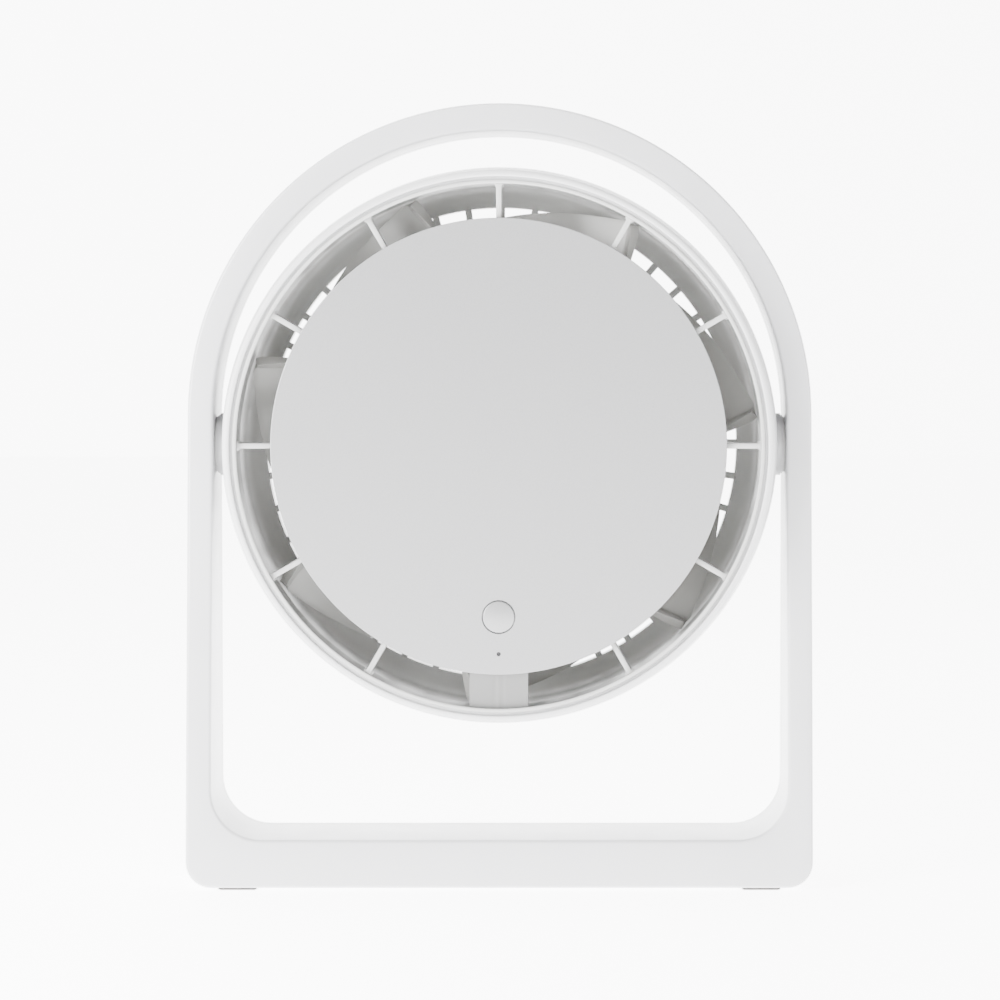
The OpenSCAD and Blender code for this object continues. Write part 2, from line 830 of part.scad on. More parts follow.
module blade() {
    n = blade_cols + 1;
    top = [for (i = [0 : blade_rows], j = [0 : blade_cols])
        blade_point(i / blade_rows, j / blade_cols, 1)];
    bottom = [for (i = [0 : blade_rows], j = [0 : blade_cols])
        blade_point(i / blade_rows, j / blade_cols, -1)];
    m = len(top);
    quads = [for (i = [0 : blade_rows - 1], j = [0 : blade_cols - 1]) [i * n + j, i * n + j + 1,
        (i + 1) * n + j + 1, (i + 1) * n + j]];
    rim = concat(
        [for (j = [0 : blade_cols]) j],
        [for (i = [1 : blade_rows]) i * n + blade_cols],
        [for (j = [1 : blade_cols]) blade_rows * n + blade_cols - j],
        [for (i = [1 : blade_rows - 1]) (blade_rows - i) * n]
    );
    upper = [for (q = quads, k = [0, 1]) [q[0], q[2 + k], q[1 + k]]];
    lower = [for (q = quads, k = [0, 1]) [m + q[0], m + q[1 + k], m + q[2 + k]]];
    sides = [for (i = [0 : len(rim) - 1], k = [0, 1])
        let (a = rim[i], b = rim[(i + 1) % len(rim)])
        k == 0 ? [a, m + b, m + a] : [a, b, m + b]];
    polyhedron(points = concat(top, bottom), faces = concat(upper, lower, sides));
}

module impeller() {
    color([0.92, 0.92, 0.9]) on_axis() {
        difference() {
            union() {
                disc(hub_r, hub_rear_f, hub_front_f);
                for (i = [0 : blades - 1]) rotate(-i * 360 / blades) blade();
            }
            disc(hub_r - hub_t, hub_rear_f + hub_t, hub_front_f + 1);
            disc(shaft_r, hub_rear_f - 1, hub_front_f);
        }
        // boss that grips the shaft, and sleeve that grips the rotor can
        tube(spinner_r, shaft_r, hub_rear_f + hub_t - eps, can_rear_f);
        tube(can_r + hub_t, can_r, hub_rear_f + hub_t - eps, can_rear_f + 8);
    }
}

// ---- assembly ----

stand_frame();
base_cover();
ballast_bar();
base_screws();
foot_pad(-1);  // foot_pad_left
foot_pad(1);  // foot_pad_right
pivot_pin(-1);  // pivot_pin_left
pivot_pin(1);  // pivot_pin_right
pivot_cap(-1);  // pivot_cap_left
pivot_cap(1);  // pivot_cap_right
retaining_clips();
drum_shell();
air_duct();
rear_grille();
front_grille();
front_disc();
pivot_collar(-1);  // pivot_collar_left
pivot_collar(1);  // pivot_collar_right
pivot_bush(-1);  // pivot_bush_left
pivot_bush(1);  // pivot_bush_right
friction_washers();
motor_base();
motor_bearings();
motor_screws();
stator_core();
stator_coils();
control_board();
tact_switch();
status_led();
light_pipe();
battery_pack();
battery_strap();
bay_screws();
usb_board();
usb_socket();
rear_screws();
wire_harness();
impeller();
rotor_can();
rotor_magnets();
motor_shaft();
impeller_nut();
power_button();
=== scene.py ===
"""Visual model of a desk fan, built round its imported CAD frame.

Distances are in metres. The head is built about its tilt axis: a point of it is given by its
radius from the fan's axis and by y, where -Y is the front.
"""

import json
import math

import bmesh
import bpy
from bpy.props import FloatProperty, FloatVectorProperty, IntProperty, PointerProperty
from mathutils import Matrix, Vector


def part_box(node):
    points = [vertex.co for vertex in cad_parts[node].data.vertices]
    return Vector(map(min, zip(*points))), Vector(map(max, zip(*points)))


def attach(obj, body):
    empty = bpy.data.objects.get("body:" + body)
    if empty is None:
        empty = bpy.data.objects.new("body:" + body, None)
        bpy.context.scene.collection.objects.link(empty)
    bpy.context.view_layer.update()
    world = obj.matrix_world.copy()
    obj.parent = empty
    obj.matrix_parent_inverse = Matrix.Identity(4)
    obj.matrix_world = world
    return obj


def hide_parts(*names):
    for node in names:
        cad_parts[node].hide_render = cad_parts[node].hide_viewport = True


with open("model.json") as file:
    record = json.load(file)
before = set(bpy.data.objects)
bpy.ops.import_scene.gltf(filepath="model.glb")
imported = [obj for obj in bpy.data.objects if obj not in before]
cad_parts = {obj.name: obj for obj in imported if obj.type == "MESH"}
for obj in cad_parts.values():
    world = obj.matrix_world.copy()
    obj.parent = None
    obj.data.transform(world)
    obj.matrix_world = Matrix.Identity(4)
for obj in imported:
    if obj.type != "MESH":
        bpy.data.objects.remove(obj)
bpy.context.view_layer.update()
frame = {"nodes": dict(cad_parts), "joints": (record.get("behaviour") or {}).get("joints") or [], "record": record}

bl_info = {
    "name": "Desk fan",
    "version": (1, 0, 0),
    "blender": (4, 5, 0),
    "location": "3D View > Sidebar > Desk fan",
    "description": "Builds a desk fan with a tilting drum head in a loop stand",
    "category": "Add Mesh",
}

MM = 0.001
SHARP_ANGLE = 35        # degrees: edges turned by more stay sharp
RIM_ANGLE = 60          # degrees: edges turned by more are rounded
ROUND_STEPS = 192       # faces round the drum's larger turned pieces


# ---- places taken from the frame ----

def joint_place(name):
    """The position of a joint's axis."""
    for joint in frame["joints"]:
        if joint["name"] == name:
            return Vector(joint["pos_m"])
    raise KeyError(name)


def span(node, axis):
    """The lowest and highest coordinate of a CAD node along one axis (0, 1 or 2)."""
    low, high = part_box(node)
    return low[axis], high[axis]


AXIS = joint_place("head_tilt")
DRUM_R = span("drum_shell", 2)[1] - AXIS.z
DRUM_FRONT, DRUM_REAR = span("drum_shell", 1)
DISC_R = span("front_disc", 2)[1] - AXIS.z
DISC_BACK = span("front_disc", 1)[1]
RING_OUT_R = span("front_grille", 2)[1] - AXIS.z
RING_FRONT, RING_BACK = span("front_grille", 1)
DUCT_FRONT = span("air_duct", 1)[0]
BLADE_FRONT, BLADE_REAR = span("impeller", 1)
STAND_HALF_W = span("stand_frame", 0)[1]
STAND_LOW, STAND_TOP = span("stand_frame", 2)
BASE_DEPTH = 2 * span("stand_frame", 1)[1]
CAP_OUT_X = span("pivot_cap_right", 0)[1]
CAP_R = (span("pivot_cap_right", 2)[1] - span("pivot_cap_right", 2)[0]) / 2
BUTTON_Z = sum(span("power_button", 2)) / 2 - AXIS.z
LED_Z = sum(span("light_pipe", 2)) / 2 - AXIS.z


def length(name, description, millimetres):
    """A length property, whose default is given in millimetres."""
    return FloatProperty(name=name, description=description, default=millimetres * MM,
                         unit="LENGTH", subtype="DISTANCE", precision=5)


def colour(name, description, default):
    """A colour property."""
    return FloatVectorProperty(name=name, description=description, default=default,
                               subtype="COLOR", size=3, min=0, max=1)


class StandSizes(bpy.types.PropertyGroup):
    """Sizes of the loop stand."""
    leg_t: length("Leg thickness", "Thickness of a leg seen from the front", 8.9)
    arch_t: length("Arch thickness", "Thickness of the arch at its top", 9.9)
    base_t: length("Base thickness", "Thickness of the base seen from the front", 17)
    arch_depth: length("Arch depth", "Depth of the loop from the tilt axis up", 34)
    outer_corner: length("Outer corner", "Radius of the lower outside corners", 9)
    inner_corner: length("Inner corner", "Radius of the lower inside corners", 17.7)
    edge: length("Edge rounding", "Rounding along the loop's front and back edges", 1.2)


class HeadSizes(bpy.types.PropertyGroup):
    """Sizes of the drum head."""
    edge_r: length("Edge radius", "Outer radius of the drum at its front and rear edges", 96.6)
    shell_t: length("Shell wall", "Wall of the drum's shell", 2.2)
    ring_r: length("Ring radius", "Inner radius of the ring round the air gap", 92)
    duct_r: length("Duct radius", "Inner radius of the air duct", 94)
    duct_t: length("Duct wall", "Wall of the air duct", 1.2)
    rib_t: length("Rib thickness", "Thickness of a rib across the air gap", 1.9)
    rib_places: IntProperty(name="Rib places", description="Ribs, counting the bridge as one",
                            default=12, min=8, max=24)
    bridge_w: length("Bridge width", "Width of the bridge across the air gap", 20.5)
    overhang: length("Disc overhang", "How far the disc reaches past the dish", 1.2)
    grille_inset: length("Grille inset", "Depth of the rear grille in from the rear edge", 8)
    rear_wall: length("Rear wall", "Wall of the rear grille", 2)
    slot_in: length("Slot start", "Inner radius of the rear slots", 34)
    slot_out: length("Slot end", "Outer radius of the rear slots", 86.4)
    lip_t: length("Lip wall", "Wall of the lip round the slotted plate", 1.2)
    foot_r: length("Duct foot", "Radius of the curve at the duct's rear end", 7)
    bar_w: length("Bar width", "Width of a bar in the rear grille", 2.5)
    rear_bars: IntProperty(name="Rear bars", description="Radial bars in the rear grille",
                           default=44, min=24, max=60)


class ImpellerSizes(bpy.types.PropertyGroup):
    """Sizes of the impeller."""
    blades: IntProperty(name="Blades", description="Number of blades", default=7, min=5, max=9)
    tip_gap: length("Tip gap", "Gap between the blade tips and the duct", 1)
    hub_r: length("Hub radius", "Outer radius of the hub", 30)
    hub_t: length("Hub wall", "Wall of the hub", 2)
    blade_t: length("Blade thickness", "Thickness of a blade", 1.8)
    tip_fall: length("Tip fall", "How much nearer the axis a tip ends at its leading edge", 11)
    tip_corner: length("Tip corner", "Radius of a blade's trailing tip corner", 2.8)
    rest_angle: FloatProperty(name="Rest angle", description="Where the first tip corner stands",
                              default=math.radians(29.3), subtype="ANGLE")


class FanColours(bpy.types.PropertyGroup):
    """Colours of the fan's visible materials."""
    stand: colour("Stand", "Milk-white plastic of the stand", (0.50, 0.50, 0.51))
    drum: colour("Drum", "White plastic of the drum", (0.52, 0.52, 0.524))
    # grille, duct and blade are the drum's white plastic, given darker colours as painted shade inside the drum.
    # The blades' warm tint is their own.
    grille: colour("Grille", "White plastic inside the drum", (0.38, 0.38, 0.373))
    # bridge: a much darker grey as painted shade, on the bridge under the disc's overhang and on the ring's inner
    # wall
    bridge: colour("Bridge", "Greyer plastic of the bridge and inner wall", (0.15, 0.15, 0.147))
    duct: colour("Duct", "White plastic of the duct and rear grille", (0.37, 0.37, 0.363))
    disc: colour("Disc", "Pearl grey of the disc and button", (0.25, 0.25, 0.253))
    blade: colour("Blade", "Warm white of the blades", (0.30, 0.297, 0.285))
    rubber: colour("Rubber", "Dark rubber of the feet", (0.018, 0.015, 0.013))
    floor: colour("Floor", "Pale floor", (0.92, 0.92, 0.92))


# ---- outlines ----

def rounded(points, steps=4):
    """The closed outline through (x, y, radius) corners, with each corner as an arc."""
    line = []
    count = len(points)
    for i, (x, y, radius) in enumerate(points):
        here = Vector((x, y))
        before = Vector(points[i - 1][:2])
        after = Vector(points[(i + 1) % count][:2])
        to_before = (before - here).normalized()
        to_after = (after - here).normalized()
        angle = to_before.angle(to_after)
        if radius <= 0 or abs(angle - math.pi) < 0.01:
            line.append(here)
            continue
        reach = radius / math.tan(angle / 2)
        start = here + to_before * reach
        end = here + to_after * reach
        centre = here + (to_before + to_after).normalized() * radius / math.sin(angle / 2)
        a, b = start - centre, end - centre
        turn = a.angle_signed(b)
        for k in range(steps + 1):
            line.append(centre + Matrix.Rotation(-turn * k / steps, 2) @ a)
    return line


def arc(x, y, radius, degrees):
    """The points at a radius round (x, y), at angles counted from +X towards +Y."""
    turns = [math.radians(d) for d in degrees]
    return [Vector((x + radius * math.cos(a), y + radius * math.sin(a))) for a in turns]


def polar(radius, degrees):
    """A point at a radius and an angle turned clockwise from straight up, seen from the front."""
    a = math.radians(degrees)
    return Vector((radius * math.sin(a), 0, radius * math.cos(a)))


# ---- mesh helpers ----

def revolve(outline, steps, closed=True):
    """A bmesh of an outline of (radius, y) points spun about the fan's axis."""
    bm = bmesh.new()
    verts = [bm.verts.new((p[0], p[1], 0)) for p in outline]
    ends = zip(verts, verts[1:] + verts[:1]) if closed else zip(verts, verts[1:])
    edges = [bm.edges.new(pair) for pair in ends]
    bmesh.ops.spin(bm, geom=verts + edges, cent=(0, 0, 0), axis=(0, 1, 0),
                   angle=2 * math.pi, steps=steps, use_merge=True)
    bmesh.ops.remove_doubles(bm, verts=bm.verts, dist=1e-6)
    bmesh.ops.recalc_face_normals(bm, faces=bm.faces)
    return bm


def soften(bm, edges, radius, segments, clamp=True):
    """Rounds some edges."""
    bmesh.ops.bevel(bm, geom=edges, offset=radius, offset_type="OFFSET", segments=segments,
                    profile=0.5, affect="EDGES", clamp_overlap=clamp, material=-1)


def extrude(bm, faces, shift):
    """Gives faces a depth by moving a copy of them, and returns the copy's vertices."""
    made = bmesh.ops.extrude_face_region(bm, geom=faces)["geom"]
    verts = [v for v in made if isinstance(v, bmesh.types.BMVert)]
    bmesh.ops.translate(bm, vec=shift, verts=verts)
    return verts


def block(bm, low, high, turn=None, edge=0):
    """Adds a box between two corners, turned by a matrix, with rounded edges."""
    low, high = Vector(low), Vector(high)
    made = bmesh.ops.create_cube(bm, size=1)["verts"]
    size = high - low
    bmesh.ops.scale(bm, vec=size, verts=made)
    bmesh.ops.translate(bm, vec=(low + high) / 2, verts=made)
    if turn is not None:
        bmesh.ops.transform(bm, matrix=turn, verts=made)
    if edge:
        soften(bm, list({e for v in made for e in v.link_edges}), edge, 2, clamp=False)


def join(target, source):
    """Adds one bmesh to another and frees the one added."""
    mesh = bpy.data.meshes.new("join")
    source.to_mesh(mesh)
    source.free()
    target.from_mesh(mesh)
    bpy.data.meshes.remove(mesh)


def raise_to_axis(bm):
    """Moves what was built about the origin up to the tilt axis."""
    bmesh.ops.translate(bm, vec=AXIS, verts=bm.verts)


def finish_piece(name, bm, material, body, nodes, sharp=SHARP_ANGLE, second=None):
    """Turns a bmesh into a finished piece that rides on a body and replaces CAD nodes.

    A second material goes to the faces whose material index is 1.
    """
    bmesh.ops.recalc_face_normals(bm, faces=bm.faces)
    mesh = bpy.data.meshes.new(name)
    bm.to_mesh(mesh)
    bm.free()
    mesh.materials.append(material)
    if second:
        mesh.materials.append(second)
    piece = bpy.data.objects.new(name, mesh)
    bpy.context.scene.collection.objects.link(piece)
    for face in mesh.polygons:
        face.use_smooth = True
    mesh.set_sharp_from_angle(angle=math.radians(sharp))
    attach(piece, body)
    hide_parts(*nodes)
    return piece


def cut(piece, cutter_bm):
    """Cuts the cutter's shape out of a piece."""
    mesh = bpy.data.meshes.new("cutter")
    cutter_bm.to_mesh(mesh)
    cutter_bm.free()
    cutter = bpy.data.objects.new("cutter", mesh)
    bpy.context.scene.collection.objects.link(cutter)
    modifier = piece.modifiers.new("cut", "BOOLEAN")
    modifier.operation = "DIFFERENCE"
    modifier.solver = "EXACT"
    modifier.object = cutter
    bake_modifiers(piece)
    bpy.data.objects.remove(cutter)
    piece.data.set_sharp_from_angle(angle=math.radians(SHARP_ANGLE))


def bake_modifiers(piece):
    """Replaces a piece's mesh by what its modifiers make of it."""
    bpy.context.view_layer.update()
    graph = bpy.context.evaluated_depsgraph_get()
    made = bpy.data.meshes.new_from_object(piece.evaluated_get(graph), depsgraph=graph)
    piece.modifiers.clear()
    old = piece.data
    piece.data = made
    made.name = old.name
    bpy.data.meshes.remove(old)


# ---- materials ----

NOISE_LOW, NOISE_HIGH = 0.3, 0.7        # a noise is mostly between these


def dress(node, material):
    """Gives a CAD node a material in place of its own."""
    mesh = frame["nodes"][node].data
    mesh.materials.clear()
    mesh.materials.append(material)


def new_material(name):
    """A material with a Principled shader; returns it with its tree and shader."""
    material = bpy.data.materials.new(name)
    material.use_nodes = True
    tree = material.node_tree
    return material, tree, tree.nodes["Principled BSDF"]


def object_noise(tree, scale, detail=3.0, rough=0.5, stretch=(1, 1, 1)):
    """A noise pattern on Object coordinates, stretched along some axes."""
    place = tree.nodes.new("ShaderNodeTexCoord")
    mapping = tree.nodes.new("ShaderNodeMapping")
    mapping.inputs["Scale"].default_value = stretch
    noise = tree.nodes.new("ShaderNodeTexNoise")
    noise.inputs["Scale"].default_value = scale
    noise.inputs["Detail"].default_value = detail
    noise.inputs["Roughness"].default_value = rough
    tree.links.new(place.outputs["Object"], mapping.inputs["Vector"])
    tree.links.new(mapping.outputs["Vector"], noise.inputs["Vector"])
    return noise.outputs["Fac"]


def spread(tree, value, low, high):
    """Maps the common values of a noise onto a range."""
    node = tree.nodes.new("ShaderNodeMapRange")
    node.inputs["From Min"].default_value = NOISE_LOW
    node.inputs["From Max"].default_value = NOISE_HIGH
    node.inputs["To Min"].default_value = low
    node.inputs["To Max"].default_value = high
    tree.links.new(value, node.inputs["Value"])
    return node.outputs["Result"]


def tint(tree, value, dark, light):
    """Blends between two colours over the common values of a noise."""
    ramp = tree.nodes.new("ShaderNodeValToRGB")
    ramp.color_ramp.elements[0].position = NOISE_LOW
    ramp.color_ramp.elements[0].color = (*dark, 1)
    ramp.color_ramp.elements[1].position = NOISE_HIGH
    ramp.color_ramp.elements[1].color = (*light, 1)
    tree.links.new(value, ramp.inputs["Fac"])
    return ramp.outputs["Color"]


def bump(tree, shader, heights):
    """Chains bumps of (height, strength, distance) into the shader's normal."""
    normal = None
    for height, strength, distance in heights:
        node = tree.nodes.new("ShaderNodeBump")
        node.inputs["Strength"].default_value = strength
        node.inputs["Distance"].default_value = distance
        tree.links.new(height, node.inputs["Height"])
        if normal:
            tree.links.new(normal, node.inputs["Normal"])
        normal = node.outputs["Normal"]
    tree.links.new(normal, shader.inputs["Normal"])


def shade(rgb, factor):
    """A colour made darker or lighter by a factor."""
    return tuple(min(1, c * factor) for c in rgb)


def moulded_plastic(name, rgb, rough, grain=0.12, coat=0.0, sss=0.0, mottle=0.02):
    """Moulded plastic: faint mottling, a fine moulded grain, and uneven gloss."""
    material, tree, shader = new_material(name)
    cloud = object_noise(tree, 22, 4)
    fine = object_noise(tree, 2600, 2)
    smear = object_noise(tree, 90, 5, 0.6)
    tree.links.new(tint(tree, cloud, shade(rgb, 1 - mottle), shade(rgb, 1 + mottle)),
                   shader.inputs["Base Color"])
    tree.links.new(spread(tree, smear, rough - 0.04, rough + 0.05), shader.inputs["Roughness"])
    bump(tree, shader, [(cloud, 0.05, 0.0006), (fine, grain, 0.00006)])
    shader.inputs["IOR"].default_value = 1.49
    shader.inputs["Coat Weight"].default_value = coat
    shader.inputs["Coat Roughness"].default_value = 0.12
    shader.inputs["Subsurface Weight"].default_value = sss
    shader.inputs["Subsurface Radius"].default_value = (1.0, 0.95, 0.9)
    shader.inputs["Subsurface Scale"].default_value = 0.002
    return material


def rubber(name, rgb):
    """Matt rubber with a pitted skin and dusty patches."""
    material, tree, shader = new_material(name)
    dust = object_noise(tree, 120, 6, 0.7)
    pits = object_noise(tree, 1800, 3)
    tree.links.new(tint(tree, dust, rgb, shade(rgb, 2.2)), shader.inputs["Base Color"])
    tree.links.new(spread(tree, pits, 0.65, 0.9), shader.inputs["Roughness"])
    bump(tree, shader, [(pits, 0.4, 0.0001)])
    return material


def metal(name, rgb, rough, streak=(1, 1, 1)):
    """Metal with fine machining marks along one direction and dull patches."""
    material, tree, shader = new_material(name)
    marks = object_noise(tree, 900, 4, 0.6, streak)
    patch = object_noise(tree, 60, 5, 0.6)
    tree.links.new(tint(tree, patch, shade(rgb, 0.85), rgb), shader.inputs["Base Color"])
    tree.links.new(spread(tree, marks, rough - 0.08, rough + 0.12), shader.inputs["Roughness"])
    bump(tree, shader, [(marks, 0.15, 0.00005)])
    shader.inputs["Metallic"].default_value = 1
    return material


def circuit_board(name, rgb):
    """Solder mask with faint tracks under it."""
    material, tree, shader = new_material(name)
    place = tree.nodes.new("ShaderNodeTexCoord")
    tracks = tree.nodes.new("ShaderNodeTexBrick")
    tracks.inputs["Scale"].default_value = 260
    tracks.inputs["Color1"].default_value = (*rgb, 1)
    tracks.inputs["Color2"].default_value = (*shade(rgb, 1.5), 1)
    tracks.inputs["Mortar"].default_value = (*shade(rgb, 0.6), 1)
    turn = tree.nodes.new("ShaderNodeMapping")
    turn.inputs["Rotation"].default_value = (math.pi / 2, 0, 0)
    tree.links.new(place.outputs["Object"], turn.inputs["Vector"])
    tree.links.new(turn.outputs["Vector"], tracks.inputs["Vector"])
    tree.links.new(tracks.outputs["Color"], shader.inputs["Base Color"])
    tree.links.new(spread(tree, object_noise(tree, 300), 0.25, 0.4), shader.inputs["Roughness"])
    return material


# ---- stand ----

def loop_points(half_w, low_z, arch_z, corner, arch_steps=96, corner_steps=12, leg_steps=10):
    """The closed outline of the stand or of its window, as (x, z) points from the top round."""
    line = []
    for k in range(arch_steps + 1):
        a = math.pi / 2 - math.pi * (k / arch_steps)
        line.append(Vector((half_w * math.sin(a), arch_z + half_w * math.cos(a))))
    leg_low = low_z + corner
    for k in range(1, leg_steps):
        line.append(Vector((-half_w, arch_z + (leg_low - arch_z) * k / leg_steps)))
    for k in range(corner_steps + 1):
        a = math.pi / 2 * k / corner_steps
        line.append(Vector((-half_w + corner * (1 - math.cos(a)),
                            low_z + corner * (1 - math.sin(a)))))
    for k in range(corner_steps + 1):
        a = math.pi / 2 * k / corner_steps
        line.append(Vector((half_w - corner * (1 - math.sin(a)),
                            low_z + corner * (1 - math.cos(a)))))
    for k in range(1, leg_steps):
        line.append(Vector((half_w, leg_low + (arch_z - leg_low) * k / leg_steps)))
    return line


def stand_half_depth(z, sizes):
    """Half of the stand's depth at a height: the base's, eased into the arch's."""
    base_top = STAND_LOW + sizes.base_t
    share = min(1, max(0, (z - base_top) / (AXIS.z - base_top)))
    return (BASE_DEPTH + (sizes.arch_depth - BASE_DEPTH) * share) / 2


class FAN_OT_stand(bpy.types.Operator):
    """Build the loop stand with its recesses, and its feet"""
    bl_idname = "fan.stand"
    bl_label = "Stand"

    def execute(self, context):
        sizes = context.scene.fan_stand
        colours = context.scene.fan_colours
        inner_half = STAND_HALF_W - sizes.leg_t
        outer = loop_points(STAND_HALF_W, STAND_LOW, STAND_TOP - STAND_HALF_W,
                            sizes.outer_corner)
        inner = loop_points(inner_half, STAND_LOW + sizes.base_t,
                            STAND_TOP - sizes.arch_t - inner_half, sizes.inner_corner)
        bm = bmesh.new()
        edges = []
        for line in (outer, inner):
            ring = [bm.verts.new((p.x, -1, p.y)) for p in line]
            edges += [bm.edges.new(pair) for pair in zip(ring, ring[1:] + ring[:1])]
        faces = bmesh.ops.bridge_loops(bm, edges=edges)["faces"]
        extrude(bm, faces, (0, 2, 0))
        for v in bm.verts:
            v.co.y *= stand_half_depth(v.co.z, sizes)
        bmesh.ops.recalc_face_normals(bm, faces=bm.faces)
        rims = [e for e in bm.edges if e.calc_face_angle(0) > math.radians(RIM_ANGLE)]
        soften(bm, rims, sizes.edge, 5)
        white = moulded_plastic("stand_milk_white", colours.stand, 0.32, 0.10, 0.25, 0.25, 0.015)
        stand = finish_piece("stand_loop", bm, white, "stand", ["stand_frame"])
        self.cut_recesses(stand)
        self.make_feet(colours)
        for node in ("base_cover", "pivot_cap_left", "pivot_cap_right"):
            dress(node, white)
        return {"FINISHED"}

    def cut_recesses(self, stand):
        """Cuts the seats of the pivot caps, the base cover and the feet."""
        gap = 0.12 * MM
        past = 0.4 * MM
        cutter = bmesh.new()
        for side in (-1, 1):
            made = bmesh.ops.create_cone(cutter, cap_ends=True, segments=64, radius1=CAP_R + gap,
                                         radius2=CAP_R + gap, depth=4 * MM)["verts"]
            turn = Matrix.Rotation(math.pi / 2, 4, "Y")
            shift = Matrix.Translation((side * (CAP_OUT_X + past), 0, AXIS.z))
            bmesh.ops.transform(cutter, matrix=shift @ turn, verts=made)
        for node in ("base_cover", "foot_pad_left", "foot_pad_right"):
            low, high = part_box(node)
            low = Vector((low.x - gap, low.y - gap, -1 * MM))
            high = Vector((high.x + gap, high.y + gap, high.z))
            block(cutter, low, high)
        cut(stand, cutter)

    def make_feet(self, colours):
        """Makes the rubber feet, each with rounded edges and fine grooves across it."""
        black = rubber("foot_rubber", colours.rubber)
        groove = 0.25 * MM
        border = 0.6 * MM
        bars, bar_share = 9, 0.72
        for name in ("left", "right"):
            low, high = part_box("foot_pad_" + name)
            bm = bmesh.new()
            block(bm, (low.x, low.y, low.z + groove), high, edge=0.3 * MM)
            pitch = (high.y - low.y) / bars
            for k in range(bars):
                start = low.y + pitch * (k + (1 - bar_share) / 2)
                block(bm, (low.x + border, start, low.z),
                      (high.x - border, start + pitch * bar_share, high.z - groove),
                      edge=0.15 * MM)
            finish_piece("foot_" + name, bm, black, "stand",
                         ["foot_pad_" + name])


# ---- drum ----

def barrel_radius(y, head):
    """Outer radius of the drum's shell at a distance along the axis."""
    half = (DRUM_REAR - DRUM_FRONT) / 2
    sag = DRUM_R - head.edge_r
    big = (half * half + sag * sag) / (2 * sag)
    return DRUM_R - big + math.sqrt(big * big - y * y)


class FAN_OT_drum(bpy.types.Operator):
    """Build the drum's barrel-shaped shell and its pivot collars"""
    bl_idname = "fan.drum"
    bl_label = "Drum shell"

    def execute(self, context):
        head = context.scene.fan_head
        colours = context.scene.fan_colours
        white = moulded_plastic("drum_white", colours.drum, 0.34, 0.10, 0.15, 0.12, 0.012)
        steps = 40
        edge = 1.4 * MM
        front, rear = DRUM_FRONT, DRUM_REAR
        # the rim stands clear of the ring, and a ledge in front of the ring closes the groove
        rim_in = RING_OUT_R + 1.1 * MM
        ledge_in = RING_OUT_R + 0.1 * MM
        ledge = front + 1.9 * MM
        ledge_t = 1.3 * MM
        soft = 0.5 * MM
        chamfer = 0.2 * MM
        outside = []
        for k in range(steps + 1):
            y = front + edge + (rear - front - 2 * edge) * k / steps
            outside.append(Vector((barrel_radius(y, head), y)))
        inside = [Vector((barrel_radius(p.y, head) - head.shell_t, p.y))
                  for p in reversed(outside)]
        front_in = [Vector((ledge_in, ledge + ledge_t)), Vector((ledge_in, ledge)),
                    Vector((rim_in - chamfer, ledge)), Vector((rim_in, ledge - chamfer))]
        front_in += arc(rim_in + soft, front + soft, soft, range(180, 271, 18))
        front_out = arc(barrel_radius(front + edge, head) - edge, front + edge, edge,
                        range(-90, 0, 15))
        rear_out = arc(barrel_radius(rear - edge, head) - edge, rear - edge, edge,
                       range(15, 91, 15))
        outline = front_out + outside + rear_out + inside + front_in
        shell = revolve(outline, ROUND_STEPS)
        raise_to_axis(shell)
        finish_piece("drum_barrel", shell, white, "head", ["drum_shell"])
        self.make_collars(head, white)
        return {"FINISHED"}

    def make_collars(self, head, white):
        """Makes the stepped collars that bridge the gaps between drum and legs."""
        for name, side in (("left", -1), ("right", 1)):
            low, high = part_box("pivot_bush_" + name)
            out = max(abs(low.x), abs(high.x))
            radius = (span("friction_washers", 2)[1] - AXIS.z) + 1.4 * MM
            step_r, step = radius - 0.7 * MM, out - 0.9 * MM
            inner = (high.z - low.z) / 2
            start = head.duct_r + head.duct_t + 2.6 * MM
            outline = rounded([(inner, start, 0), (radius, start, 0), (radius, step, 0.1 * MM),
                               (step_r, step, 0.1 * MM), (step_r, out, 0.25 * MM),
                               (inner, out, 0)], 3)
            bm = revolve(outline, 96)
            turn = Matrix.Rotation(-side * math.pi / 2, 4, "Z")
            bmesh.ops.transform(bm, matrix=turn, verts=bm.verts)
            raise_to_axis(bm)
            finish_piece("collar_" + name, bm, white, "head",
                         ["pivot_collar_" + name])


# ---- front ----

